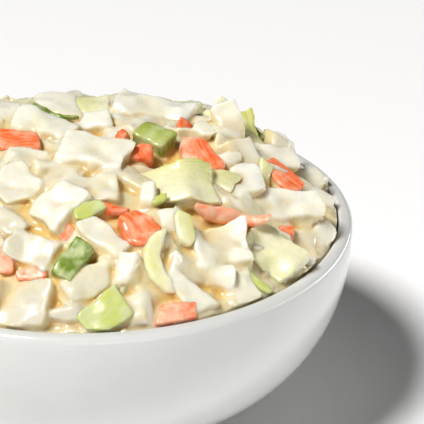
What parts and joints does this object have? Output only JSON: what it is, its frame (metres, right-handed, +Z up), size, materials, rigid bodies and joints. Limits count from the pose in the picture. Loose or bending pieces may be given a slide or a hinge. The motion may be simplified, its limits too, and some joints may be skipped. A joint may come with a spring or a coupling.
{
  "type": "coleslaw",
  "caption": "Chopped coleslaw in creamy dressing, heaped above the lip of a small round porcelain side bowl that stands on a foot ring.",
  "frame": {"origin": "centre of the foot ring's underside, on the surface the bowl stands on", "axes": "+Z up; the bowl is round about +Z and the side with the shown heap faces -Y"},
  "size_m": [0.115, 0.115, 0.0686],
  "materials": {
    "porcelain": "white, clear gloss glaze",
    "slaw": "chopped cabbage wet with creamy dressing, soft and slightly translucent",
    "carrot": "diced carrot, wet",
    "pepper": "diced green pepper and green leaf, wet"
  },
  "bodies": {
    "root": {"bowl": "porcelain", "coleslaw": "slaw"}
  },
  "joints": []
}
